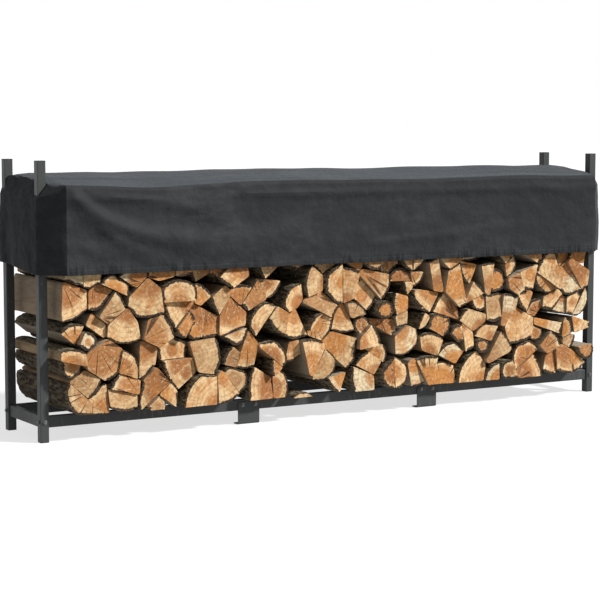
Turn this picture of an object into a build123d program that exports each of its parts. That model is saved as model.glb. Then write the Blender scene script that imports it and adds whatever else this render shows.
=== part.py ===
"""Firewood rack: a bolted steel frame full of split logs, with a fabric cover draped over the pile."""

import cmath
import math
import os
import random

from build123d import *

# Steel frame, over the outside of its posts. X runs along the rack, Y from front to back.
rack_length = 2960.0
rack_depth = 410.0
post_height = 1190.0
post_side = 38.0
post_wall = 2.0
post_corner_radius = 3.0

# Plastic inserts that close both ends of each post.
cap_flange = 4.0
cap_edge_chamfer = 1.2
cap_corner_chamfer = 1.8
cap_plug_depth = 14.0
cap_plug_lead = 2.0
cap_clearance = 0.2

# Bottom rails and end bars, all at one level. Each long side is bolted up from three rails.
rail_height = 50.0
rail_width = 25.0
rail_wall = 2.0
rail_corner_radius = 3.0
rail_ground_clearance = 63.0
rail_count = 3
rail_joint_gap = 0.3

# Angle feet that carry the rail joints.
foot_width = 108.0
foot_thickness = 4.0
foot_bend_radius = 5.0
foot_flange_depth = 48.0
foot_corner_chamfer = 5.0
foot_top_drop = 12.0

# Log pile: staggered rooms, each shared out by straight splits among logs of mixed sizes. A few logs
# are whole rounds. The rest are halves, slabs off the outside of a round, or wedges with the pith at
# their tip.
log_overhang = 70.0
log_end_scatter = 18.0
log_pitch = 165.0
log_gap = 0.6
log_seat = 0.3
log_contact_bite = 2.0
log_least_side = 1.5
log_least_width = 60.0
course_pitch = 140.0
pile_end_gap = 6.0
pile_end_wander = 10.0
pile_lean = 60.0
pile_height = 980.0
log_split_shares = (0.42, 1.08)
whole_share = 0.04
whole_open_share = 0.34
half_share = 0.42
slab_share = 0.16
slab_pith_shares = (0.12, 0.35)
wedge_opening_shares = (0.21, 0.36)
stagger_share = 0.28
mid_share = 0.5
seat_jitter_share = 0.24
size_jitter_share = 0.12
end_jitter_share = 0.2
pith_jitter_share = 0.1
split_turn_share = 0.1
split_jitter_share = 0.1
neighbour_reach_share = 2.6
pile_seed = 33

# Cover: one draped cloth, held open by the pile and pulled down outside the posts. The ease between
# the longest log and the skin is also the radius of the folds along the top.
cover_thickness = 2.0
cover_ease = 14.0
cover_drop = 383.0
cover_end_ease = 6.0
cover_shoulder_inset = 86.0
cover_shoulder_drop = 63.0
cover_slot_clearance = 2.0

# One overrun serves every cut.
cut_overrun = 20.0

# Places that follow from the sizes above.
half_length = rack_length / 2
half_depth = rack_depth / 2
post_x = half_length - post_side / 2
post_y = half_depth - post_side / 2
rail_top = rail_ground_clearance + rail_height
rail_centre_z = rail_ground_clearance + rail_height / 2
rail_span = rack_length - 2 * post_side
rail_pitch = rail_span / rail_count
pile_bottom = rail_top + log_seat
pile_top = pile_bottom + pile_height
pile_half_length = half_length - post_side - pile_end_gap
cover_top = pile_top + log_seat + cover_thickness
cover_hem = cover_top - cover_drop
cover_half_depth = half_depth + log_overhang + log_end_scatter + cover_ease
cover_half_length = half_length + cover_end_ease + cover_thickness
cover_half_top = half_length - cover_shoulder_inset
cover_half_waist = half_depth + cover_end_ease + cover_thickness


def square_tube(width, height, corner_radius, wall, length):
    """A rounded rectangular tube that stands on the XY plane."""
    outer = RectangleRounded(width, height, corner_radius)
    bore = Rectangle(width - 2 * wall, height - 2 * wall)
    return extrude(outer - bore, amount=length)


def post(x, y):
    """One upright, shorter than the rack by the flange of the cap at each end."""
    tube = square_tube(post_side, post_side, post_corner_radius, post_wall, post_height - 2 * cap_flange)
    return Pos(x, y, cap_flange) * tube


def post_cap(x, y, z, upward):
    """The insert in one end of a post: a flange that covers the wall and a plug inside the bore."""
    flange = extrude(Rectangle(post_side, post_side), amount=cap_flange)
    flange = chamfer(flange.edges().filter_by(Axis.Z), cap_corner_chamfer)
    flange = chamfer(flange.faces().sort_by(Axis.Z)[-1].edges(), cap_edge_chamfer)
    plug_side = post_side - 2 * (post_wall + cap_clearance)
    plug = extrude(Rectangle(plug_side, plug_side), amount=-cap_plug_depth)
    plug = chamfer(plug.faces().sort_by(Axis.Z)[0].edges(), cap_plug_lead)
    cap = flange + plug
    return Pos(x, y, z) * (cap if upward else Rot(180, 0, 0) * cap)


def long_rail(index, y):
    """One of the rails that make up a long side, counted from the left."""
    length = (rail_span + rail_joint_gap) / rail_count - rail_joint_gap
    start = -rail_span / 2 + index * (length + rail_joint_gap)
    tube = square_tube(rail_height, rail_width, rail_corner_radius, rail_wall, length)
    return Pos(start, y, rail_centre_z) * Rot(0, 90, 0) * tube


def end_bar(x):
    """The bar that joins the front and back posts at one end."""
    tube = square_tube(rail_width, rail_height, rail_corner_radius, rail_wall, rack_depth - 2 * post_side)
    return Pos(x, half_depth - post_side, rail_centre_z) * Rot(90, 0, 0) * tube


def angle_foot(x, side):
    """A bent plate over a rail joint, with its flange turned in under the rack. Side is -1 at the front."""
    face = post_y + rail_width / 2
    top = rail_top - foot_top_drop
    leg = Pos(0, face + foot_thickness / 2, top / 2) * Box(foot_width, foot_thickness, top)
    flange_centre = face + foot_thickness - foot_flange_depth / 2
    flange = Pos(0, flange_centre, foot_thickness / 2) * Box(foot_width, foot_flange_depth, foot_thickness)
    plate = leg + flange
    lengthwise = plate.edges().filter_by(Axis.X)
    inner_bend = lengthwise.sort_by_distance((0, face, foot_thickness))[0]
    plate = fillet(inner_bend, foot_bend_radius)
    outer_bend = plate.edges().filter_by(Axis.X).sort_by_distance((0, face + foot_thickness, 0))[0]
    plate = fillet(outer_bend, foot_bend_radius + foot_thickness)
    corners = plate.edges().filter_by(Axis.Y).group_by(Axis.Z)[-1]
    plate = chamfer(corners, foot_corner_chamfer)
    tips = plate.edges().filter_by(Axis.Z).group_by(Axis.Y)[0]
    plate = chamfer(tips, foot_corner_chamfer)
    return Pos(x, 0, 0) * (plate if side > 0 else Rot(0, 0, 180) * plate)


def dot(a, b):
    """Dot product of two vectors across the pile, each a complex number of x and z."""
    return (a * b.conjugate()).real


def sides(outline):
    """The sides of a closed outline, each as its start and end."""
    return list(zip(outline, outline[1:] + outline[:1]))


def clipped(outline, point, normal):
    """What is left of a convex outline behind a line through a point."""
    kept = []
    for start, end in sides(outline):
        before = dot(start - point, normal)
        after = dot(end - point, normal)
        if before <= 0:
            kept.append(start)
        if before * after < 0:
            kept.append(start + (end - start) * before / (before - after))
    return kept


def area(outline):
    """Area of an outline that runs anticlockwise."""
    return sum((start.conjugate() * end).imag for start, end in sides(outline)) / 2


def centroid(outline):
    """Centre of area of an outline."""
    moment = sum((start + end) * (start.conjugate() * end).imag for start, end in sides(outline))
    return moment / (6 * area(outline))


def without_short_sides(outline):
    """An outline with each side that is too short to show merged into the next."""
    return [end for start, end in sides(outline) if abs(end - start) > log_least_side]


def reach_to_side(point, start, end):
    """Distance from a point to the nearest point of a side."""
    share = dot(point - start, end - start) / abs(end - start) ** 2
    return abs(start + (end - start) * min(1, max(0, share)) - point)


def scattered(rng, share):
    """A random step of at most a share of the pitch each way."""
    return complex(rng.uniform(-1, 1), rng.uniform(-1, 1)) * share * log_pitch


def log_seats(rng):
    """Course, centre and size of each log, and the same of the logs missing beyond each end of the pile."""
    courses = max(2, round(pile_height / course_pitch))
    count = max(2, round(2 * pile_half_length / log_pitch))
    seats, missing = [], []
    for course in range(courses):
        lead = stagger_share if course % 2 else 1 - stagger_share
        level = (course + mid_share) / courses
        half = pile_half_length - pile_lean * level
        for index in range(count):
            place = complex(2 * half * (index + lead) / count - half, pile_bottom + level * pile_height)
            place += scattered(rng, seat_jitter_share)
            size = rng.uniform(-1, 1) * size_jitter_share * log_pitch**2
            seats.append((course, place, size))
            if index in (0, count - 1):
                end = math.copysign(half - pile_end_wander, place.real)
                outside = complex(2 * end - place.real, place.imag)
                missing.append((course, outside + scattered(rng, end_jitter_share), size))
    return seats, missing


def room_between(centre, size, seats):
    """The room that one log has between its neighbours, where a larger log takes more of the way."""
    half_top = pile_half_length - pile_lean
    room = [complex(-pile_half_length, pile_bottom), complex(pile_half_length, pile_bottom),
            complex(half_top, pile_top), complex(-half_top, pile_top)]
    for _, other, other_size in seats:
        reach = abs(other - centre)
        if 0 < reach < neighbour_reach_share * log_pitch:
            normal = (other - centre) / reach
            boundary = (other + centre) / 2 + normal * (size - other_size) / (2 * reach)
            room = clipped(room, boundary - normal * log_gap / 2, normal)
    return without_short_sides(room)


def shared_out(room, rng):
    """A room split across its length again and again, until each part has the size of one log."""
    first, last = max(((a, b) for a in room for b in room), key=lambda pair: abs(pair[1] - pair[0]))
    along = (last - first) / abs(last - first)
    normal = along * cmath.rect(1, rng.uniform(-1, 1) * split_turn_share * math.tau)
    middle = centroid(room) + scattered(rng, split_jitter_share)
    if area(room) < rng.uniform(*log_split_shares) * log_pitch * course_pitch:
        return [room]
    halves = []
    for facing in (normal, -normal):
        halves.append(without_short_sides(clipped(room, middle - facing * log_gap / 2, facing)))
    if min(area(half) for half in halves) < log_least_width**2:
        return [room]
    return [part for half in halves for part in shared_out(half, rng)]


def bark_radius(piece, pith, open_sides):
    """Radius about the pith that meets the side below and all but a few of the farthest other sides."""
    reaches = sorted(reach_to_side(pith, *side) for side in sides(piece))
    lowest = min(sides(piece), key=lambda side: sum(side).imag)
    farthest = reaches[-1 - min(open_sides, len(piece) - 3)]
    return max(farthest, reach_to_side(pith, *lowest)) + log_contact_bite


def outward(side):
    """Direction that a side of an outline faces."""
    start, end = side
    return (end - start) * -1j / abs(end - start)


def whole_round(room, rng):
    """A log that was not split, with its pith near the middle of its room."""
    pith = centroid(room) + scattered(rng, pith_jitter_share)
    return room, pith, bark_radius(room, pith, int(len(room) * whole_open_share))


def flat_backed(room, direction, depth):
    """A log with one broad split face that faces a direction, and its pith outside that face by a depth."""
    side = max(sides(room), key=lambda item: dot(outward(item), direction))
    pith = sum(side) / 2 + outward(side) * depth
    return room, pith, bark_radius(room, pith, 1)


def wedge(room, direction, opening):
    """A log split on both sides of the pith, which is its corner in a direction. Its lower face stays."""
    middle = centroid(room)
    corner = max(range(len(room)), key=lambda index: dot(room[index] - middle, direction))
    pith = room[corner]
    first = room[(corner + 1) % len(room)] - pith
    last = room[corner - 1] - pith
    if first.imag / abs(first) < last.imag / abs(last):
        upper_face = first / abs(first) * cmath.rect(1, opening) * 1j
    else:
        upper_face = last / abs(last) * cmath.rect(1, -opening) * -1j
    piece = without_short_sides(clipped(room, pith, upper_face))
    return piece, pith, bark_radius(piece, pith, 1)


def split_log(room, rng):
    """One log that fits a room: its outline, its pith and the radius of its bark."""
    kind = rng.random()
    direction = cmath.rect(1, rng.uniform(0, math.tau))
    pith_depth = rng.uniform(*slab_pith_shares) * log_pitch
    opening = rng.uniform(*wedge_opening_shares) * math.tau
    if kind < whole_share:
        return whole_round(room, rng)
    if kind < whole_share + half_share:
        piece, pith, radius = flat_backed(room, direction, 0)
    elif kind < whole_share + half_share + slab_share:
        piece, pith, radius = flat_backed(room, direction, pith_depth)
    else:
        piece, pith, radius = wedge(room, direction, opening)
    if radius < log_least_width or area(piece) < log_least_width**2:
        return whole_round(room, rng)
    return piece, pith, radius


def log_section(piece, pith, radius):
    """Section of a log: the straight sides of its piece, joined by bark that is round about the pith."""
    runs = []
    for start, end in sides(piece):
        along = (end - start) / abs(end - start)
        foot = dot(pith - start, along)
        distance = abs(start + foot * along - pith)
        half_chord = math.sqrt(max(0, radius**2 - distance**2))
        first = max(0, foot - half_chord)
        last = min(abs(end - start), foot + half_chord)
        if last - first > log_least_side:
            runs.append((start + first * along, start + last * along))
    edges = []
    for (start, end), (following, _) in sides(runs):
        edges.append(Line((start.real, start.imag), (end.real, end.imag)))
        if abs(following - end) > log_least_side:
            turn = cmath.phase((following - pith) / (end - pith)) % math.tau
            middle = pith + (end - pith) * cmath.rect(1, turn / 2)
            edges.append(ThreePointArc(*[(p.real, p.imag) for p in (end, middle, following)]))
        elif following != end:
            edges.append(Line((end.real, end.imag), (following.real, following.imag)))
    return Plane.XZ * make_face(edges)


def log_courses():
    """All the logs, in one list for each course of the pile."""
    rng = random.Random(pile_seed)
    seats, missing = log_seats(rng)
    courses = [[] for _ in range(seats[-1][0] + 1)]
    for course, centre, size in seats:
        room = room_between(centre, size, seats + missing)
        if len(room) < 3 or area(room) < log_least_width**2:
            continue
        for part in shared_out(room, rng):
            piece, pith, radius = split_log(part, rng)
            front = half_depth + log_overhang + rng.uniform(-1, 1) * log_end_scatter
            back = half_depth + log_overhang + rng.uniform(-1, 1) * log_end_scatter
            section = Pos(0, -front, 0) * log_section(piece, pith, radius)
            log = extrude(section, amount=front + back, dir=(0, 1, 0))
            courses[course].append(log.solids()[0])
    return courses


def mitre(inset, turn):
    """How far a corner runs back along one side when both its sides move in by an inset."""
    return inset * math.tan(turn / 2)


def draped_form(inset, bottom):
    """The solid that the cover wraps, with its skin moved in by an inset, down to a bottom level."""
    crown = cover_top - inset
    end = cover_half_length - inset
    depth = cover_half_depth - inset
    shoulder_run = cover_half_length - cover_half_top
    slope = math.atan2(cover_shoulder_drop, shoulder_run)
    shoulder = cover_top - cover_shoulder_drop - mitre(inset, math.pi / 2 - slope)
    ridge = cover_half_top - mitre(inset, slope)
    profile = Polyline((-end, bottom), (end, bottom), (end, shoulder), (ridge, crown),
                       (-ridge, crown), (-end, shoulder), close=True)
    lengthwise = extrude(Plane.XZ * make_face(profile), amount=depth, both=True)
    height = crown - bottom
    section = Plane.YZ * Pos(0, bottom + height / 2) * Rectangle(2 * depth, height)
    across = extrude(section, amount=end, both=True)
    across = fillet(across.edges().filter_by(Axis.X).group_by(Axis.Z)[-1], cover_ease - inset)
    corner = math.atan2(cover_half_depth - cover_half_waist, shoulder_run)
    waist = cover_half_waist - mitre(inset, math.pi / 2 - corner)
    tip = cover_half_top - mitre(inset, corner)
    plan = Polyline((end, -waist), (end, waist), (tip, depth), (-tip, depth),
                    (-end, waist), (-end, -waist), (-tip, -depth), (tip, -depth), close=True)
    upright = Pos(0, 0, bottom) * extrude(make_face(plan), amount=height)
    return lengthwise & across & upright


def cover_panels():
    """The cover as its sewn panels: top, front, back and the two hoods over the ends."""
    shell = draped_form(0, cover_hem) - draped_form(cover_thickness, cover_hem - cut_overrun)
    slot = post_side + 2 * cover_slot_clearance
    slot_height = cover_shoulder_drop + 2 * cut_overrun
    slot_centre = cover_top - cover_shoulder_drop + slot_height / 2
    for x in (-post_x, post_x):
        for y in (-post_y, post_y):
            shell -= Pos(x, y, slot_centre) * Box(slot, slot, slot_height)
    room_z = 2 * (cover_drop + cut_overrun)
    flat = cover_half_depth - cover_ease
    side_depth = cover_ease + cut_overrun
    side_centre = flat + side_depth / 2
    end_length = cover_half_length - cover_half_top + cut_overrun
    end_centre = cover_half_top + end_length / 2
    middle_box = Box(2 * cover_half_top, 2 * flat, room_z)
    side_box = Box(2 * cover_half_top, side_depth, room_z)
    end_box = Box(end_length, 2 * (cover_half_depth + cut_overrun), room_z)
    return {
        "cover_top": shell & (Pos(0, 0, cover_top) * middle_box),
        "cover_front": shell & (Pos(0, -side_centre, cover_top) * side_box),
        "cover_back": shell & (Pos(0, side_centre, cover_top) * side_box),
        "cover_left_end": shell & (Pos(-end_centre, 0, cover_top) * end_box),
        "cover_right_end": shell & (Pos(end_centre, 0, cover_top) * end_box),
    }


def frame_pieces():
    """Every piece of the steel frame by name."""
    pieces = {}
    for side, y in (("front", -post_y), ("back", post_y)):
        for end, x in (("left", -post_x), ("right", post_x)):
            name = f"{side}_{end}"
            pieces[f"{name}_post"] = post(x, y)
            pieces[f"{name}_post_cap"] = post_cap(x, y, post_height - cap_flange, True)
            pieces[f"{name}_post_foot_cap"] = post_cap(x, y, cap_flange, False)
        for index, place in enumerate(("left", "middle", "right")):
            pieces[f"{side}_{place}_rail"] = long_rail(index, y)
        for end, x in (("left", -rail_pitch / 2), ("right", rail_pitch / 2)):
            pieces[f"{side}_{end}_foot"] = angle_foot(x, math.copysign(1, y))
    pieces["left_end_bar"] = end_bar(-post_x)
    pieces["right_end_bar"] = end_bar(post_x)
    return pieces


def main():
    """Build every piece and write one file for each."""
    os.makedirs("parts", exist_ok=True)
    pieces = frame_pieces()
    pieces.update(cover_panels())
    for level, logs in enumerate(log_courses(), start=1):
        pieces[f"log_course_{level}"] = Compound(children=logs)
    for name, piece in pieces.items():
        export_step(piece, os.path.join("parts", f"{name}.step"))


main()
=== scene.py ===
"""Looks of the log store: split firewood in a powder-coated rack under a draped charcoal cover."""

import cmath
import logging
import math
import random
from dataclasses import dataclass, field
from enum import Enum

import bmesh
import bpy
from mathutils import Matrix, Vector, noise


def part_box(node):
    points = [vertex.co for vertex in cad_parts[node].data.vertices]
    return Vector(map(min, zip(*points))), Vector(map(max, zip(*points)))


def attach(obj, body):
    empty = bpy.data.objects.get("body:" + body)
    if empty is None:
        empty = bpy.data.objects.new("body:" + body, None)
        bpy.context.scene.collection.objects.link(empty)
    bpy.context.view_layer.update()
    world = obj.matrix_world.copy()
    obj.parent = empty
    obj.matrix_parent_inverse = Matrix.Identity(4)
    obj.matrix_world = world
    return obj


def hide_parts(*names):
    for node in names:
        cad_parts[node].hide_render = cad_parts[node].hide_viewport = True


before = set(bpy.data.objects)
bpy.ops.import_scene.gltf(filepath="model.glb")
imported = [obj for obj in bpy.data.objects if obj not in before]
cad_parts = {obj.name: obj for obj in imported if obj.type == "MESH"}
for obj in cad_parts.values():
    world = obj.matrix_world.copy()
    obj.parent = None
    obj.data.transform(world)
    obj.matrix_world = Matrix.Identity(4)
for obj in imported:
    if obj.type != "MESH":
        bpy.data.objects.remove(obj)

LOG = logging.getLogger("log_store")
ROOT = "root"
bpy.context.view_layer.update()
Colour = tuple[float, float, float, float]
Socket = bpy.types.NodeSocket
Element = bmesh.types.BMVert | bmesh.types.BMEdge | bmesh.types.BMFace


class Slot(Enum):
    """Material slots of the record."""

    STEEL = "powder_coated_steel"
    CAPS = "cap_plastic"
    CLOTH = "cover_cloth"
    WOOD = "firewood"


class Surface(Enum):
    """Kinds of surface on a log, in the order of its material slots."""

    END = 0
    BARK = 1
    SPLIT = 2


def srgb(red: int, green: int, blue: int) -> Colour:
    """Linear colour of an sRGB triple in 0 to 255.

    Args:
        red: Red level.
        green: Green level.
        blue: Blue level.

    Returns:
        The colour with full alpha.
    """
    def linear(level: int) -> float:
        """One level as linear light."""
        share = level / 255
        return share / 12.92 if share <= 0.04045 else ((share + 0.055) / 1.055) ** 2.4
    return (linear(red), linear(green), linear(blue), 1.0)


def smooth_step(low: float, high: float, value: float) -> float:
    """A share that rises smoothly from 0 at low to 1 at high."""
    share = min(1.0, max(0.0, (value - low) / (high - low)))
    return share * share * (3 - 2 * share)


def rough(x: float, y: float, z: float) -> float:
    """Smooth noise between -1 and 1 at a point of noise space."""
    return noise.noise(Vector((x, y, z)))


def with_borders(faces: list[bmesh.types.BMFace]) -> list[Element]:
    """Faces with their corners and edges, each once and in the order of the mesh.

    Args:
        faces: The faces.

    Returns:
        All of them, ready for an operator.
    """
    return list(dict.fromkeys(item for face in faces for item in (face, *face.verts, *face.edges)))


class Shading:
    """A material's node tree with short calls that add and join its nodes."""

    def __init__(self, name: str) -> None:
        """Start an empty tree with a principled shader.

        Args:
            name: Name of the material.
        """
        self.material = bpy.data.materials.new(name)
        self.material.use_nodes = True
        self.tree = self.material.node_tree
        self.tree.nodes.clear()
        self.output = self.tree.nodes.new("ShaderNodeOutputMaterial")
        self.shader = self.tree.nodes.new("ShaderNodeBsdfPrincipled")
        self.join(self.shader.outputs["BSDF"], self.output.inputs["Surface"])

    def join(self, start: Socket, end: Socket) -> None:
        """Link two sockets."""
        self.tree.links.new(start, end)

    def node(self, kind: str, **settings: object) -> bpy.types.Node:
        """Add a node and set its properties.

        Args:
            kind: Type name of the node.
            settings: Properties by name.

        Returns:
            The new node.
        """
        made = self.tree.nodes.new(kind)
        for key, value in settings.items():
            setattr(made, key, value)
        return made

    def feed(self, socket: Socket, value: object) -> None:
        """Give a socket a link or a constant.

        Args:
            socket: The input to fill.
            value: Another socket, or a plain value.
        """
        if isinstance(value, Socket):
            self.join(value, socket)
        else:
            socket.default_value = value

    def place(self) -> Socket:
        """Object coordinates."""
        return self.node("ShaderNodeTexCoord").outputs["Object"]

    def attribute(self, name: str) -> bpy.types.Node:
        """A node that reads an attribute of the mesh."""
        return self.node("ShaderNodeAttribute", attribute_name=name)

    def parts(self, vector: Socket) -> list[Socket]:
        """The three parts of a vector."""
        split = self.node("ShaderNodeSeparateXYZ")
        self.join(vector, split.inputs[0])
        return list(split.outputs)

    def vector(self, *values: object) -> Socket:
        """A vector from its three parts."""
        made = self.node("ShaderNodeCombineXYZ")
        for socket, value in zip(made.inputs, values):
            self.feed(socket, value)
        return made.outputs[0]

    def stretched(self, place: Socket, scale: tuple[float, float, float]) -> Socket:
        """Coordinates scaled along each axis.

        Args:
            place: Coordinates to scale.
            scale: Factor along each axis.

        Returns:
            The scaled coordinates.
        """
        mapping = self.node("ShaderNodeMapping")
        self.join(place, mapping.inputs["Vector"])
        mapping.inputs["Scale"].default_value = scale
        return mapping.outputs["Vector"]

    def maths(self, operation: str, *values: object) -> Socket:
        """A math node.

        Args:
            operation: Name of the operation.
            values: Its inputs.

        Returns:
            Its result.
        """
        made = self.node("ShaderNodeMath", operation=operation)
        for socket, value in zip(made.inputs, values):
            self.feed(socket, value)
        return made.outputs[0]

    def product(self, *values: object) -> Socket:
        """All the values multiplied."""
        result = values[0]
        for value in values[1:]:
            result = self.maths("MULTIPLY", result, value)
        return result

    def noise(self, place: Socket, scale: float, detail: float = 2.0, roughness: float = 0.5) -> Socket:
        """Noise between 0 and 1.

        Args:
            place: Coordinates.
            scale: Cells per metre.
            detail: Number of octaves.
            roughness: Weight of the finer octaves.

        Returns:
            The value of the noise.
        """
        made = self.node("ShaderNodeTexNoise")
        self.join(place, made.inputs["Vector"])
        made.inputs["Scale"].default_value = scale
        made.inputs["Detail"].default_value = detail
        made.inputs["Roughness"].default_value = roughness
        return made.outputs["Fac"]

    def span(self, value: object, low: object, high: object, to_low: float = 0.0,
             to_high: float = 1.0) -> Socket:
        """A value mapped smoothly from one span to another.

        Args:
            value: What is mapped.
            low: Start of its span.
            high: End of its span.
            to_low: Result at the start.
            to_high: Result at the end.

        Returns:
            The mapped value.
        """
        made = self.node("ShaderNodeMapRange", interpolation_type="SMOOTHSTEP")
        keys = ("Value", "From Min", "From Max", "To Min", "To Max")
        for key, item in zip(keys, (value, low, high, to_low, to_high)):
            self.feed(made.inputs[key], item)
        return made.outputs["Result"]

    def mix(self, share: object, first: object, second: object) -> Socket:
        """Two colours mixed.

        Args:
            share: Weight of the second.
            first: First colour.
            second: Second colour.

        Returns:
            The mixed colour.
        """
        made = self.node("ShaderNodeMix", data_type="RGBA")
        self.feed(made.inputs[0], share)
        self.feed(made.inputs[6], first)
        self.feed(made.inputs[7], second)
        return made.outputs[2]

    def bump(self, height: Socket, distance: float, strength: float = 1.0,
             under: Socket | None = None) -> Socket:
        """A bump from a height.

        Args:
            height: Height between 0 and 1.
            distance: Real height of 1, in metres.
            strength: Weight of the bump.
            under: Normal of a bump below this one.

        Returns:
            The bumped normal.
        """
        made = self.node("ShaderNodeBump")
        self.join(height, made.inputs["Height"])
        made.inputs["Distance"].default_value = distance
        made.inputs["Strength"].default_value = strength
        if under is not None:
            self.join(under, made.inputs["Normal"])
        return made.outputs["Normal"]

    def surface(self, colour: object, roughness: object, normal: Socket | None = None,
                **constants: float) -> bpy.types.Material:
        """Set the shader's inputs.

        Args:
            colour: Base colour.
            roughness: Roughness.
            normal: Bumped normal.
            constants: Other inputs, with underscores for spaces.

        Returns:
            The finished material.
        """
        self.feed(self.shader.inputs["Base Color"], colour)
        self.feed(self.shader.inputs["Roughness"], roughness)
        if normal is not None:
            self.join(normal, self.shader.inputs["Normal"])
        for key, value in constants.items():
            self.shader.inputs[key.replace("_", " ")].default_value = value
        return self.material


@dataclass(frozen=True)
class PowderCoat:
    """Dark grey powder coat: a fine orange peel, slightly uneven, with paler scuffs and dust."""

    colour: Colour = srgb(66, 69, 68)
    scuff: Colour = srgb(104, 106, 103)
    peel_scale: float = 900.0
    peel_depth: float = 0.00025

    def material(self) -> bpy.types.Material:
        """Build the material."""
        s = Shading("powder_coat")
        place = s.place()
        broad = s.noise(place, 5.0, 4.0)
        fine = s.noise(s.stretched(place, (60.0, 60.0, 18.0)), 1.0, 5.0, 0.65)
        scuffs = s.product(s.span(fine, 0.54, 0.70), s.span(broad, 0.42, 0.66))
        colour = s.mix(scuffs, self.colour, self.scuff)
        roughness = s.span(broad, 0.3, 0.7, 0.40, 0.55)
        peel = s.bump(s.noise(place, self.peel_scale, 2.0), self.peel_depth, 0.4)
        return s.surface(colour, roughness, peel, Specular_IOR_Level=0.3)


@dataclass(frozen=True)
class CapPlastic:
    """Moulded dark plastic of the post inserts."""

    colour: Colour = srgb(44, 46, 46)
    dusty: Colour = srgb(92, 94, 92)

    def material(self) -> bpy.types.Material:
        """Build the material."""
        s = Shading("cap_plastic")
        place = s.place()
        dust = s.span(s.noise(place, 70.0, 4.0, 0.6), 0.45, 0.75)
        colour = s.mix(s.product(dust, 0.4), self.colour, self.dusty)
        grain = s.bump(s.noise(place, 1400.0), 0.0001, 0.5)
        return s.surface(colour, s.span(dust, 0.0, 1.0, 0.45, 0.62), grain, Specular_IOR_Level=0.3)


@dataclass(frozen=True)
class BoltZinc:
    """Dull zinc of the bolt heads."""

    colour: Colour = srgb(112, 114, 114)
    stain: Colour = srgb(62, 61, 58)

    def material(self) -> bpy.types.Material:
        """Build the material."""
        s = Shading("bolt_zinc")
        stain = s.noise(s.place(), 220.0, 4.0, 0.6)
        colour = s.mix(s.span(stain, 0.4, 0.7), self.colour, self.stain)
        return s.surface(colour, s.span(stain, 0.3, 0.7, 0.38, 0.58), None, Metallic=0.6)


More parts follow.
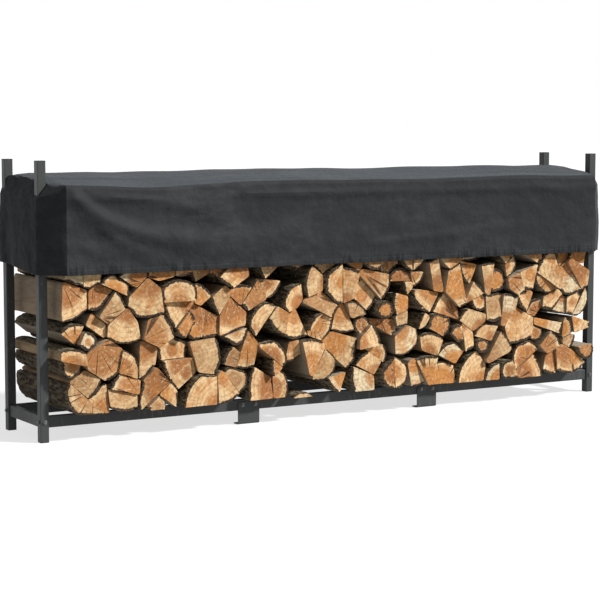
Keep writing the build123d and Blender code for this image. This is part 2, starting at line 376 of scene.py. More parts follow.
@dataclass(frozen=True)
class CharcoalCloth:
    """Coated woven polyester: a fine weave, dust, a top painted paler as if lit from above, and puckers
    above the stitched hem.
    """

    colour: Colour = srgb(56, 58, 60)
    dusty: Colour = srgb(79, 81, 83)
    # Paler colour painted on the top, as if it were lit more from above.
    painted_top_light: Colour = srgb(83, 86, 90)
    # Dark colour of the weave's threads, also used for the painted shade in the puckers' folds.
    thread: Colour = srgb(24, 25, 26)
    # Pale colour of the stitches, also used for the painted highlight on the hem's bottom edge.
    stitch_and_hem_highlight: Colour = srgb(92, 94, 95)
    top_height: float = 0.39
    top_blend: float = 0.02
    thread_pitch: float = 0.0018
    thread_depth: float = 0.0004
    stitch_pitch: float = 0.004
    stitch_height: float = 0.0235
    stitch_reach: float = 0.0014
    stitch_core: float = 0.0004
    hem_highlight_height: float = 0.004
    pucker_height: float = 0.060
    pucker_foot: float = 0.015
    pucker_depth: float = 0.008
    crumple_depth: float = 0.009
    ridge_depth: float = 0.020

    def material(self) -> bpy.types.Material:
        """Build the material."""
        s = Shading("charcoal_cloth")
        place = s.place()
        along, height, _ = s.parts(s.node("ShaderNodeUVMap", uv_map="cloth").outputs["UV"])
        turns = math.tau / self.thread_pitch
        threads = [s.maths("SINE", s.product(axis, turns)) for axis in (along, height)]
        weave = s.maths("MULTIPLY_ADD", s.product(*threads), 0.5, 0.5)
        broad = s.noise(place, 2.4, 5.0, 0.6)
        streaks = s.noise(s.stretched(place, (11.0, 11.0, 24.0)), 1.0, 4.0, 0.6)
        dust = s.product(s.span(broad, 0.35, 0.7), s.span(streaks, 0.3, 0.75))
        colour = s.mix(s.product(dust, 0.6), self.colour, self.dusty)
        drawn = s.noise(s.vector(s.product(along, 1.3), s.product(height, 13.0), 0.0), 1.0, 1.5, 0.4)
        # Painted light: the top is mixed towards a paler colour, as if lit from above.
        top = s.span(height, self.top_height, self.top_height + self.top_blend)
        colour = s.mix(s.product(top, s.span(drawn, 0.15, 0.55, 0.55, 1.0)), colour, self.painted_top_light)
        colour = s.mix(s.product(weave, 0.2), colour, self.thread)
        colour = self.stitched(s, along, height, colour)
        gathers = s.noise(s.vector(s.product(along, 20.0), s.product(height, 2.0), 0.0), 1.0, 2.0)
        lines = s.span(s.maths("ABSOLUTE", s.maths("SUBTRACT", gathers, 0.5)), 0.0, 0.045)
        patches = s.span(s.noise(place, 6.0, 3.0), 0.40, 0.56)
        near_hem = s.product(s.span(height, self.pucker_height, self.pucker_foot), patches)
        # Painted shade: dark lines along the folds of the puckers above the hem.
        pucker_shade = s.product(s.maths("SUBTRACT", 1.0, lines), near_hem)
        colour = s.mix(s.product(pucker_shade, 0.55), colour, self.thread)
        puckers = s.bump(s.product(gathers, near_hem), self.pucker_depth, 0.7)
        crumple = s.bump(s.noise(place, 21.0, 5.0, 0.55), self.crumple_depth, 0.7, puckers)
        ridges = s.bump(s.product(top, drawn), self.ridge_depth, 0.5, crumple)
        normal = s.bump(weave, self.thread_depth, 0.25, ridges)
        return s.surface(colour, s.span(broad, 0.3, 0.7, 0.56, 0.68), normal, Specular_IOR_Level=0.03,
                         Sheen_Weight=0.015, Sheen_Roughness=0.25)

    def stitched(self, s: Shading, along: Socket, height: Socket, colour: Socket) -> Socket:
        """The cloth's colour with the hem's stitches and a painted highlight along its bottom edge.

        Args:
            s: The material's tree.
            along: Place along the hem.
            height: Height above the hem.
            colour: Colour of the cloth.

        Returns:
            The colour with both added.
        """
        beside = s.maths("ABSOLUTE", s.maths("SUBTRACT", height, self.stitch_height))
        seam = s.span(beside, self.stitch_reach, self.stitch_core)
        dashes = s.span(s.maths("SINE", s.product(along, math.tau / self.stitch_pitch)), -0.5, 0.1)
        colour = s.mix(s.product(seam, dashes, 0.03), colour, self.stitch_and_hem_highlight)
        # Painted highlight: a pale band along the folded bottom edge of the hem.
        return s.mix(s.product(s.span(height, self.hem_highlight_height, 0.0), 0.6), colour, self.stitch_and_hem_highlight)


@dataclass(frozen=True)
class EndGrain:
    """Sawn end of a log: heartwood, pale sapwood, growth rings about the pith, cracks and a bark rim."""

    heart: Colour = srgb(204, 146, 92)
    heart_brown: Colour = srgb(176, 116, 68)
    heart_gold: Colour = srgb(220, 150, 80)
    sap: Colour = srgb(254, 216, 162)
    pale: Colour = srgb(255, 238, 196)
    grey: Colour = srgb(196, 164, 120)
    ring: Colour = srgb(134, 84, 46)
    crack: Colour = srgb(58, 36, 22)
    bark: Colour = srgb(52, 42, 33)
    bark_light: Colour = srgb(138, 116, 90)
    ring_pitch: float = 0.0068
    ring_wander: float = 0.020
    band_pitch: float = 0.021
    saw_depth: float = 0.003

    def material(self) -> bpy.types.Material:
        """Build the material."""
        s = Shading("end_grain")
        place = s.place()
        tone_a, tone_b, tone_c = tones = s.parts(s.attribute("tone").outputs["Vector"])
        across, up, radius = s.parts(s.attribute("grain").outputs["Vector"])
        length = s.maths("SQRT", s.maths("ADD", s.product(across, across), s.product(up, up)))
        warp = s.product(s.maths("SUBTRACT", s.noise(place, 16.0, 3.0), 0.5), self.ring_wander)
        warped = s.maths("ADD", length, warp)
        share = s.maths("DIVIDE", warped, radius)
        colour = self.wood(s, place, share, tones)
        colour = s.mix(s.product(self.growth(s, place, warped), 0.56), colour, self.ring)
        turn = s.maths("ARCTAN2", up, across)
        spokes = s.vector(s.product(turn, 12.0), s.product(tone_a, 13.0), s.product(length, 16.0))
        rays = s.noise(spokes, 1.0, 3.0)
        colour = s.mix(s.product(s.span(rays, 0.45, 0.75), 0.38), colour, self.ring)
        torn = s.noise(place, 75.0, 4.0, 0.65)
        colour = s.mix(s.product(s.span(torn, 0.5, 0.75), 0.5), colour, self.heart_brown)
        colour = s.mix(s.product(s.span(torn, 0.48, 0.25), 0.55), colour, self.pale)
        crack = self.cracks(s, turn, length, share, tone_a, tone_b)
        colour = s.mix(s.product(crack, 0.9), colour, self.crack)
        saw = self.saw_marks(s, across, up, tone_a, tone_c)
        colour = s.mix(s.product(s.span(saw, 0.45, 0.72), 0.4), colour, self.heart_brown)
        colour = s.mix(s.product(s.span(saw, 0.45, 0.25), 0.35), colour, self.pale)
        ragged = s.product(s.maths("SUBTRACT", s.noise(place, 95.0, 3.0, 0.6), 0.5), 1.1)
        rim = s.span(s.maths("ADD", s.attribute("bark").outputs["Fac"], ragged), 0.26, 0.40)
        flecks = s.product(s.span(s.noise(place, 170.0, 3.0), 0.5, 0.72), 0.75)
        colour = s.mix(rim, colour, s.mix(flecks, self.bark, self.bark_light))
        height = s.maths("SUBTRACT", s.maths("MULTIPLY_ADD", saw, 0.35, s.product(torn, 0.8)), crack)
        height = s.maths("SUBTRACT", height, s.product(rim, s.noise(place, 160.0, 3.0)))
        return s.surface(colour, 0.75, s.bump(height, self.saw_depth, 0.6), Specular_IOR_Level=0.2)

    def wood(self, s: Shading, place: Socket, share: Socket, tones: list[Socket]) -> Socket:
        """Heartwood and sapwood, blotched, stained and on some logs weathered.

        Args:
            s: The material's tree.
            place: Object coordinates.
            share: Distance from the pith as a share of the bark's radius.
            tones: Three random values of the log.

        Returns:
            The colour.
        """
        tone_a, tone_b, tone_c = tones
        blotch = s.noise(place, 26.0, 4.0, 0.6)
        heart = s.mix(s.span(tone_b, 0.25, 0.6), self.heart_brown, self.heart)
        heart = s.mix(s.span(tone_b, 0.6, 0.95), heart, self.heart_gold)
        sap = s.mix(s.span(tone_c, 0.78, 0.97), self.sap, self.pale)
        edge = s.maths("MULTIPLY_ADD", tone_a, 0.55, 0.30)
        sapwood = s.span(s.maths("SUBTRACT", share, edge), -0.12, 0.14)
        colour = s.mix(sapwood, heart, sap)
        colour = s.mix(s.product(s.span(blotch, 0.46, 0.72), 0.6), colour, self.heart_brown)
        stain = s.span(s.noise(place, 13.0, 3.0), 0.48, 0.68)
        colour = s.mix(s.product(stain, 0.55), colour, self.heart_gold)
        weathered = s.product(s.span(tone_c, 0.18, 0.05), s.span(blotch, 0.2, 0.55), 0.7)
        return s.mix(weathered, colour, self.grey)

    def growth(self, s: Shading, place: Socket, warped: Socket) -> Socket:
        """Growth rings about the pith, in broader bands and fading in places.

        Args:
            s: The material's tree.
            place: Object coordinates.
            warped: Uneven distance from the pith.

        Returns:
            How dark the rings are.
        """
        waves = [s.span(s.maths("SINE", s.product(warped, math.tau / pitch)), -0.2, 1.0)
                 for pitch in (self.ring_pitch, self.band_pitch)]
        both = s.maths("MULTIPLY_ADD", waves[0], 0.5, s.product(waves[1], 0.6))
        return s.product(both, s.span(s.noise(place, 34.0, 2.0), 0.25, 0.65))

    def saw_marks(self, s: Shading, across: Socket, up: Socket, tone_a: Socket, tone_c: Socket) -> Socket:
        """Marks of the saw, straight over the end in a direction of the log's own.

        Args:
            s: The material's tree.
            across: Distance from the pith along the pile.
            up: Height above the pith.
            tone_a: Random value of the log.
            tone_c: Another random value of the log.

        Returns:
            Noise drawn out along the marks.
        """
        aim = s.product(tone_c, math.pi)
        cosine, sine = s.maths("COSINE", aim), s.maths("SINE", aim)
        over = s.maths("ADD", s.product(across, cosine), s.product(up, sine))
        beside = s.maths("SUBTRACT", s.product(up, cosine), s.product(across, sine))
        marks = s.vector(s.product(over, 24.0), s.product(tone_a, 50.0), s.product(beside, 190.0))
        return s.noise(marks, 1.0, 3.0, 0.6)

    def cracks(self, s: Shading, turn: Socket, length: Socket, share: Socket, tone_a: Socket,
               tone_b: Socket) -> Socket:
        """Drying cracks that run out from the pith.

        Args:
            s: The material's tree.
            turn: Direction from the pith.
            length: Distance from the pith.
            share: Distance from the pith as a share of the bark's radius.
            tone_a: Random value of the log.
            tone_b: Another random value of the log.

        Returns:
            1 in a crack, 0 beside it.
        """
        spoke = s.vector(s.product(turn, 1.4), s.product(tone_a, 40.0), s.product(length, 0.8))
        ridge = s.maths("ABSOLUTE", s.maths("SUBTRACT", s.noise(spoke, 1.0, 1.0), 0.5))
        reach = s.span(s.maths("ABSOLUTE", s.maths("SUBTRACT", share, tone_b)), 0.4, 0.2)
        return s.product(s.span(ridge, 0.022, 0.004), reach, s.span(tone_a, 0.35, 0.6))


@dataclass(frozen=True)
class Bark:
    """Furrowed bark that runs along the log, grey-brown with lichen."""

    ridge: Colour = srgb(158, 144, 120)
    furrow: Colour = srgb(56, 46, 37)
    lichen: Colour = srgb(148, 150, 122)
    furrow_depth: float = 0.006

    def material(self) -> bpy.types.Material:
        """Build the material."""
        s = Shading("bark")
        place = s.place()
        along = s.stretched(place, (1.0, 0.26, 1.0))
        furrows = s.noise(along, 75.0, 5.0, 0.62)
        flakes = s.noise(along, 190.0, 4.0, 0.6)
        ridge = s.span(s.maths("MULTIPLY_ADD", flakes, 0.3, s.product(furrows, 0.7)), 0.40, 0.60)
        colour = s.mix(ridge, self.furrow, self.ridge)
        patches = s.span(s.noise(place, 9.0, 4.0, 0.6), 0.48, 0.70)
        colour = s.mix(s.product(patches, ridge, 0.6), colour, self.lichen)
        return s.surface(colour, 0.88, s.bump(ridge, self.furrow_depth, 0.8), Specular_IOR_Level=0.15)


@dataclass(frozen=True)
class SplitFace:
    """Riven side of a log: long fibres, tan to weathered grey."""

    fresh: Colour = srgb(222, 184, 138)
    brown: Colour = srgb(160, 118, 82)
    grey: Colour = srgb(182, 170, 152)
    fibre: Colour = srgb(96, 70, 50)
    fibre_depth: float = 0.003

    def material(self) -> bpy.types.Material:
        """Build the material."""
        s = Shading("split_face")
        place = s.place()
        _, tone, _ = s.parts(s.attribute("tone").outputs["Vector"])
        fibres = s.noise(s.stretched(place, (1.0, 0.05, 1.0)), 260.0, 4.0, 0.6)
        broad = s.noise(s.stretched(place, (1.0, 0.16, 1.0)), 22.0, 4.0, 0.6)
        colour = s.mix(s.span(broad, 0.35, 0.65), self.fresh, self.brown)
        colour = s.mix(s.span(tone, 0.1, 0.6, 0.35, 0.9), colour, self.grey)
        colour = s.mix(s.product(s.span(fibres, 0.5, 0.75), 0.5), colour, self.fibre)
        return s.surface(colour, 0.8, s.bump(fibres, self.fibre_depth, 0.7), Specular_IOR_Level=0.2)


class Piece:
    """Base of everything that is built: turns a bmesh into an object that rides on the frame."""

    def finish(self, mesh: bmesh.types.BMesh, name: str, slot: Slot,
               materials: list[bpy.types.Material]) -> bpy.types.Object:
        """Make the object, give it its materials and let it ride.

        Args:
            mesh: The finished mesh, freed here.
            name: Name of the piece.
            slot: Slot of the record; not used.
            materials: Its materials in order.

        Returns:
            The new object.
        """
        data = bpy.data.meshes.new(name)
        mesh.to_mesh(data)
        mesh.free()
        for material in materials:
            data.materials.append(material)
        made = bpy.data.objects.new(name, data)
        bpy.context.scene.collection.objects.link(made)
        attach(made, ROOT)
        LOG.info("%s: %d faces", name, len(data.polygons))
        return made


@dataclass
class SteelFrame(Piece):
    """The rack's own nodes, with the bolts that hold rails, bars and feet."""

    bolt_across: float = 0.013
    bolt_height: float = 0.006
    bolt_corner: float = 0.0008
    washer_radius: float = 0.0105
    washer_height: float = 0.0016
    foot_bolt_share: float = 0.30
    coat: PowderCoat = PowderCoat()
    plastic: CapPlastic = CapPlastic()
    zinc: BoltZinc = BoltZinc()

    def dress(self) -> None:
        """Give every steel and plastic node its finish."""
        coat, plastic = self.coat.material(), self.plastic.material()
        for name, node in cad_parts.items():
            if name.startswith(("log_", "cover_")):
                continue
            node.data.materials.clear()
            node.data.materials.append(plastic if name.endswith("_cap") else coat)

    def add_bolt(self, mesh: bmesh.types.BMesh, place: Vector, outward: Vector) -> None:
        """One hexagon head on its washer.

        Args:
            mesh: Mesh that takes the bolt.
            place: Centre of its seat.
            outward: Direction that the head stands out.
        """
        seat = Matrix.Translation(place) @ outward.to_track_quat("Z", "Y").to_matrix().to_4x4()
        lift = Matrix.Translation((0, 0, self.washer_height / 2))
        bmesh.ops.create_cone(mesh, cap_ends=True, segments=20, radius1=self.washer_radius,
                              radius2=self.washer_radius, depth=self.washer_height, matrix=seat @ lift)
        lift = Matrix.Translation((0, 0, self.washer_height + self.bolt_height / 2))
        radius = self.bolt_across / math.sqrt(3)
        made = bmesh.ops.create_cone(mesh, cap_ends=True, segments=6, radius1=radius, radius2=radius,
                                     depth=self.bolt_height, matrix=seat @ lift)
        middle = seat @ lift @ Vector()
        edges = dict.fromkeys(edge for vert in made["verts"] for edge in vert.link_edges)
        crown = [edge for edge in edges if all((end.co - middle).dot(outward) > 0 for end in edge.verts)]
        bmesh.ops.bevel(mesh, geom=crown, offset=self.bolt_corner, segments=2, profile=0.5,
                        affect="EDGES", material=-1)

    def add_bolts(self) -> None:
        """Bolts through the posts into rails and end bars, and through the feet into the rails."""
        mesh = bmesh.new()
        for side in ("front", "back"):
            forward = Vector((0, -1 if side == "front" else 1, 0))
            for end in ("left", "right"):
                sideways = Vector((-1 if end == "left" else 1, 0, 0))
                low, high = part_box(f"{end}_end_bar")
                level = (low.z + high.z) / 2
                low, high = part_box(f"{side}_{end}_post")
                middle, half = (low + high) / 2, (high - low) / 2
                middle.z = level
                self.add_bolt(mesh, middle + forward * half.y, forward)
                self.add_bolt(mesh, middle + sideways * half.x, sideways)
                low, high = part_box(f"{side}_{end}_foot")
                face = low.y if side == "front" else high.y
                reach = (high.x - low.x) * self.foot_bolt_share
                for x in (-reach, reach):
                    self.add_bolt(mesh, Vector(((low.x + high.x) / 2 + x, face, level)), forward)
        self.finish(mesh, "bolts", Slot.STEEL, [self.zinc.material()])


@dataclass(frozen=True)
class Crease:
    """A fold that runs over a hanging side of the cloth, as a curve bent towards one point."""

    start: tuple[float, float]
    bend: tuple[float, float]
    end: tuple[float, float]
    rise: float
    width: float
    slack: float = 1.9
    steps: int = 12

    def points(self) -> list[Vector]:
        """Points along the curve, each along the side and up."""
        shares = [step / self.steps for step in range(self.steps + 1)]
        start, bend, end = Vector(self.start), Vector(self.bend), Vector(self.end)
        return [start * (1 - t) ** 2 + bend * 2 * t * (1 - t) + end * t * t for t in shares]

    def height(self, place: Vector, points: list[Vector]) -> float:
        """How far the cloth stands out.

        Args:
            place: Point of the side, along and up.
            points: Points along the curve.

        Returns:
            Height of the fold there, with a shallow hollow on each side and a slack return below.
        """
        low, high = sorted((points[0].x, points[-1].x))
        if not low - 6 * self.width < place.x < high + 6 * self.width:
            return 0.0
        best, share = Vector((math.inf, 0.0)), 0.0
        for index, (start, end) in enumerate(zip(points, points[1:])):
            along = end - start
            step = min(1.0, max(0.0, (place - start).dot(along) / along.length_squared))
            arm = place - start - along * step
            if arm.length < best.length:
                best, share = arm, (index + step) / self.steps
        below = smooth_step(0.5, -0.5, best.y / max(best.length, 1e-6))
        ratio = best.length / (self.width * (0.6 + 0.8 * share) * (1 + (self.slack - 1) * below))
        fade = math.sin(math.pi * min(1.0, 0.12 + 0.88 * share)) ** 0.5
        return self.rise * fade * math.exp(-ratio * ratio) * (1 - 0.5 * ratio * ratio)


@dataclass(frozen=True)
class Ripple:
    """Smooth unevenness of the cloth: its height, cells per metre on each axis, and level in the noise."""

    height: float
    scale: tuple[float, float, float]
    level: float = 0.0

    def rise(self, x: float, y: float, z: float = 0.0) -> float:
        """How far the cloth rises at a point."""
        along, across, up = self.scale
        return self.height * rough(x * along, y * across, z * up + self.level)


@dataclass
class Cover(Piece):
    """One cloth over the pile, pulled down outside the posts, with slots for them."""

    cell: float = 0.0115
    fold: float = 0.020
    fold_steps: int = 8
    crown: float = 0.036
    crown_shift: float = 0.14
    edge_share: float = 0.51
    edge_share_back: float = 0.80
    edge_drop: float = 0.12
    hem_raise: float = 0.030
    sharp_angle: float = math.radians(24)
    slot_gap: float = 0.0025
    thickness: float = 0.0012
    log_clearance: float = 0.004
    inward_limit: float = 0.003
    hem_rings: tuple[float, ...] = (0.030, 0.0255, 0.0235, 0.0215, 0.012, 0.004, 0.0)
    hem_fold: float = 0.0004
    edge_sag: float = 0.006
    corner_sag: float = 0.016
    corner_place: float = 1.0
    corner_reach: float = 0.25
    edge_ridge: float = 0.004
    edge_ridge_drop: float = 0.062
    edge_ridge_width: float = 0.02
    end_bulge: float = 0.006
    post_bulge: float = 0.004
    top_blend: float = 0.10
    hang_drops: tuple[float, float] = (0.02, 0.34)
    bulge_drops: tuple[float, float] = (0.05, 0.4)
    facing_shares: tuple[float, float] = (0.6, 0.95)
    top_ridges: tuple[Ripple, ...] = (
        Ripple(0.006, (1.1, 17.0, 0.0), 5.0),
        Ripple(0.003, (2.6, 34.0, 0.0), 1.0),
    )
    log_swells: tuple[Ripple, ...] = (
        Ripple(0.008, (3.7, 0.8, 0.0), 3.0),
        Ripple(0.009, (1.5, 0.0, 0.0), 9.0),
    )
    side_waves: tuple[Ripple, ...] = (
        Ripple(0.006, (1.6, 3.2, 0.0), 2.0),
        Ripple(0.0025, (5.0, 8.0, 0.0), 6.0),
    )
    crumples: tuple[Ripple, ...] = (
        Ripple(0.0024, (12.0, 12.0, 14.0)),
        Ripple(0.0012, (24.0, 24.0, 26.0)),
    )
    edge_wander: Ripple = Ripple(1.0, (2.2, 0.0, 0.0), 4.0)
    end_pleats: Ripple = Ripple(0.005, (13.0, 13.0, 1.1))
    hanging_waves: Ripple = Ripple(0.0035, (8.5, 8.5, 1.3))
    creases: tuple[Crease, ...] = (
        Crease((-1.375, 1.075), (-1.15, 0.75), (-0.22, 0.868), 0.024, 0.042),
        Crease((-0.90, 1.005), (-0.76, 0.975), (-0.62, 1.01), 0.006, 0.030),
        Crease((-1.30, 0.84), (-1.22, 0.81), (-1.12, 0.845), 0.006, 0.026),
        Crease((-1.30, 1.062), (-0.98, 1.02), (-0.62, 0.955), 0.007, 0.026),
        Crease((-1.24, 0.905), (-1.10, 0.80), (-0.86, 0.725), 0.008, 0.028),
        Crease((-1.33, 0.84), (-1.28, 0.80), (-1.20, 0.785), 0.005, 0.018),
        Crease((0.10, 0.80), (0.45, 0.825), (1.05, 0.872), 0.006, 0.020),
        Crease((0.98, 1.05), (1.18, 1.03), (1.34, 1.0), 0.005, 0.022),
        Crease((-0.55, 1.045), (-0.1, 1.03), (0.5, 1.05), 0.005, 0.018),
    )
    cloth: CharcoalCloth = CharcoalCloth()

    def __post_init__(self) -> None:
        """Read the sizes of the form from the cover's nodes."""
        self.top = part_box("cover_top")[1].z
        self.half_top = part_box("cover_top")[1].x
        self.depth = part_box("cover_back")[1].y
        self.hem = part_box("cover_front")[0].z
        self.half_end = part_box("cover_right_end")[1].x
        flat_end = [v.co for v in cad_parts["cover_right_end"].data.vertices
                    if v.co.x > self.half_end - self.thickness]
        self.waist = max(place.y for place in flat_end)
        self.shoulder = max(place.z for place in flat_end)
        self.half_flat = self.depth - self.fold
        self.post_low, self.post_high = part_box("back_right_post")
        self.crease_lines = [(crease, crease.points()) for crease in self.creases]

    def lift(self, x: float, y: float) -> float:
        """How far the cloth on top stands above the flat form.

        Args:
            x: Place along the rack.
            y: Place across it.

        Returns:
            The rise.
        """
        across = min(1.0, abs(y) / self.half_flat)
        past = y - self.crown_shift
        slope = abs(past) / (self.half_flat - math.copysign(self.crown_shift, past))
        crown = self.crown * (1 - min(1.0, slope) ** 1.6)
        ridges = sum(ripple.rise(x, y) for ripple in self.top_ridges)
        logs = sum(ripple.rise(x, y) for ripple in self.log_swells)
        past_corner = (math.copysign(x, -x * y) + self.corner_place) / self.corner_reach
        sag = self.edge_sag + self.corner_sag * math.exp(-past_corner ** 2)
        return crown + ridges * (1 - 0.6 * across) + logs * (1 - 0.4 * across) - sag * across

    def ceiling(self, x: float, y: float) -> float:
        """Highest level that a log may reach under the cloth.

        Args:
            x: Place along the rack.
            y: Place across it.

        Returns:
            That level.
        """
        past = min(self.fold, max(0.0, abs(y) - self.half_flat))
        drop = self.fold - math.sqrt(self.fold ** 2 - past ** 2)
        return self.top + self.lift(x, y) - drop - self.log_clearance

    def drops(self) -> list[tuple[float, float]]:
        """For each ring of cloth below the top: how far round the fold it is, and how far down after it."""
        rings = [(step / self.fold_steps, 0.0) for step in range(1, self.fold_steps + 1)]
        fall = self.top - self.hem - self.fold
        count = round((fall - self.hem_rings[0]) / self.cell)
        last = 1 - self.hem_rings[0] / fall
        rings += [(1.0, last * step / count) for step in range(1, count)]
        return rings + [(1.0, 1 - height / fall) for height in self.hem_rings]

    def foot_of(self, rim: Vector) -> Vector:
        """Where the thread from a point of the top's rim hangs, seen from above.

        Args:
            rim: The point.

        Returns:
            The place of the hanging thread, both parts positive.
        """
        if abs(rim.x) < self.half_top - self.cell / 2:
            return Vector((abs(rim.x), self.depth))
        wing, corner = Vector((self.half_end, self.waist)), Vector((self.half_top, self.depth))
        slant = (wing - corner).length
        along = abs(rim.y) / self.half_flat * (slant + self.waist)
        if along < self.waist:
            return Vector((self.half_end, along))
        return wing.lerp(corner, (along - self.waist) / slant)

    def hang(self, rim: Vector, turn: float, fall: float) -> Vector:
        """A point of the hanging cloth before its folds.

        Args:
            rim: Where its thread leaves the top.
            turn: Share of the way round the fold.
            fall: Share of the way down from the fold to the hem.

        Returns:
            The point.
        """
        foot = self.foot_of(rim)
        reach = max(0.0, (foot.x - self.half_top) / (self.half_end - self.half_top))
        depth = self.fold + (self.top - self.shoulder - self.fold) * reach
        out = math.sin(turn * math.pi / 2)
        bend = 1 - math.cos(turn * math.pi / 2)
        out += (turn - out) * reach
        back = smooth_step(-self.waist, self.waist, rim.y)
        edge = self.edge_share + (self.edge_share_back - self.edge_share) * back
        slope = self.edge_drop * out / edge
        if out > edge:
            slope = 1 - (1 - self.edge_drop) * (1 - out) / (1 - edge)
        down = bend + (slope - bend) * reach
        x = math.copysign(abs(rim.x) + (foot.x - abs(rim.x)) * out, rim.x)
        y = math.copysign(abs(rim.y) + (foot.y - abs(rim.y)) * out, rim.y)
        z = self.top - depth * down - (self.top - depth - self.hem_level(x, y)) * fall
        return Vector((x, y, z))

    def hem_level(self, x: float, y: float) -> float:
        """Level of the hem, which is drawn up at the back corners.

        Args:
            x: Place along the rack.
            y: Place across it.

        Returns:
            The level.
        """
        near_end = smooth_step(self.half_top - 10 * self.fold, self.half_end, abs(x))
        return self.hem + self.hem_raise * near_end * smooth_step(-self.waist, self.waist, y)

    def add_skirt(self, mesh: bmesh.types.BMesh) -> None:
        """Extrude the rim of the top downwards, ring by ring.

        Args:
            mesh: The flat top.
        """
        rim = {vert: vert.co.copy() for vert in mesh.verts if vert.is_boundary}
        for turn, fall in self.drops():
            edges = [edge for edge in mesh.edges if edge.is_boundary]
            made = bmesh.ops.extrude_edge_only(mesh, edges=edges)
            fresh = [item for item in made["geom"] if isinstance(item, bmesh.types.BMVert)]
            lower = {}
            for vert in fresh:
                above = next(edge.other_vert(vert) for edge in vert.link_edges
                             if edge.other_vert(vert) in rim)
                lower[vert] = rim[above]
            for vert, start in lower.items():
                vert.co = self.hang(start, turn, fall)
            rim = lower

    def stand_off(self, place: Vector, normal: Vector) -> float:
        """How far the hanging cloth stands out from the form.

        Args:
            place: Point of the form.
            normal: Direction that the cloth faces there.

        Returns:
            The distance, never far inwards.
        """
        down = max(0.0, self.top - place.z)
        hang = smooth_step(*self.hang_drops, down)
        along = place.x if normal.y < 0 else -place.x
        long_side = smooth_step(*self.facing_shares, abs(normal.y))
        out = hang * self.hanging_waves.rise(*place) + sum(ripple.rise(*place) for ripple in self.crumples)
        if long_side > 0:
            spot = Vector((along, place.z))
            folds = sum(crease.height(spot, points) for crease, points in self.crease_lines)
            broad = sum(ripple.rise(*spot) for ripple in self.side_waves)
            past_ridge = (down - self.edge_ridge_drop) / self.edge_ridge_width
            ridge = self.edge_ridge * math.exp(-past_ridge ** 2) * (1 + self.edge_wander.rise(along, 0.0))
            out += long_side * (folds + broad * smooth_step(0.0, self.top_blend, down) + ridge)
        end = 1 - long_side
        if end > 0:
            bulge = self.end_bulge * math.sin(math.pi * smooth_step(*self.bulge_drops, down))
            pleats = self.end_pleats.rise(place.y, place.x, place.z)
            over_post = smooth_step(self.post_low.y - self.fold, self.post_low.y, abs(place.y))
            out += end * hang * (bulge + pleats + self.post_bulge * over_post)
        height = place.z - self.hem_level(place.x, place.y)
        if height < self.hem_rings[2]:
            out += self.hem_fold
        elif height < self.hem_rings[2] + self.hem_fold:
            out -= self.hem_fold
        return max(out, -self.inward_limit)

    def shape_folds(self, mesh: bmesh.types.BMesh) -> None:
        """Move the cloth into its folds.

        Args:
            mesh: The cloth on its plain form.
        """
        mesh.normal_update()
        moves = []
        for vert in mesh.verts:
            flat = Vector((vert.normal.x, vert.normal.y, 0))
            on_top = smooth_step(self.top_blend, 0.0, self.top - vert.co.z)
            move = Vector((0, 0, on_top * self.lift(vert.co.x, vert.co.y)))
            if flat.length > 0.2:
                move += flat * self.stand_off(vert.co, vert.normal)
            moves.append((vert, move))
        for vert, move in moves:
            vert.co += move

    def lay_out(self, mesh: bmesh.types.BMesh) -> None:
        """Give the cloth a map of its threads: along the rim, and up from the hem.

        Args:
            mesh: The cloth on its plain form.
        """
        layer = mesh.loops.layers.uv.new("cloth")
        mesh.normal_update()
        for face in mesh.faces:
            on_end = abs(face.normal.x) > max(abs(face.normal.y), abs(face.normal.z))
            on_top = face.normal.z > 0.7
            for loop in face.loops:
                place = loop.vert.co
                height = place.z - self.hem_level(place.x, place.y)
                across = place.y + self.top - self.hem + self.depth if on_top else height
                loop[layer].uv = (place.y if on_end else place.x, across)

    def cut_slots(self, mesh: bmesh.types.BMesh) -> None:
        """Cut the slots that the posts pass through.

        Args:
            mesh: The cloth.
        """
        gap = Vector((self.slot_gap, self.slot_gap, 0))
        low, high = self.post_low - gap, self.post_high + gap
        floor = self.shoulder - self.fold
        for end in (-1, 1):
            for side in (-1, 1):
                turned = Vector((end, side, 1))
                cuts = [(Vector((end * x, 0, 0)), Vector((1, 0, 0))) for x in (low.x, high.x)]
                cuts += [(Vector((0, side * y, 0)), Vector((0, 1, 0))) for y in (low.y, high.y)]
                for place, direction in cuts:
                    near = [face for face in mesh.faces if face.calc_center_median().z > floor
                            and (face.calc_center_median() * turned).x > self.half_top - self.cell
                            and (face.calc_center_median() * turned).y > 0]
                    bmesh.ops.bisect_plane(mesh, geom=with_borders(near), plane_co=place,
                                           plane_no=direction)
                inside = []
                for face in mesh.faces:
                    spot = face.calc_center_median() * turned
                    if low.x < spot.x < high.x and low.y < spot.y < high.y and spot.z > floor:
                        inside.append(face)
                bmesh.ops.delete(mesh, geom=inside, context="FACES")

    def build(self) -> None:
        """Model the cloth and hang it on the frame."""
        mesh = bmesh.new()
        columns = round(2 * self.half_top / self.cell)
        rows = round(2 * self.half_flat / self.cell)
        spread = Matrix.Diagonal((2 * self.half_top, 2 * self.half_flat, 1, 1))
        bmesh.ops.create_grid(mesh, x_segments=columns, y_segments=rows, size=0.5,
                              matrix=Matrix.Translation((0, 0, self.top)) @ spread)
        self.add_skirt(mesh)
        bmesh.ops.recalc_face_normals(mesh, faces=mesh.faces)
        self.lay_out(mesh)
        self.shape_folds(mesh)
        self.cut_slots(mesh)
        for face in mesh.faces:
            face.smooth = True
        for edge in mesh.edges:
            edge.smooth = edge.calc_face_angle(0.0) < self.sharp_angle
        made = self.finish(mesh, "cover_cloth", Slot.CLOTH, [self.cloth.material()])
        solid = made.modifiers.new("cloth", "SOLIDIFY")
        solid.thickness = self.thickness
        solid.offset = -1.0
        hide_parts("cover_top", "cover_front", "cover_back", "cover_left_end", "cover_right_end")


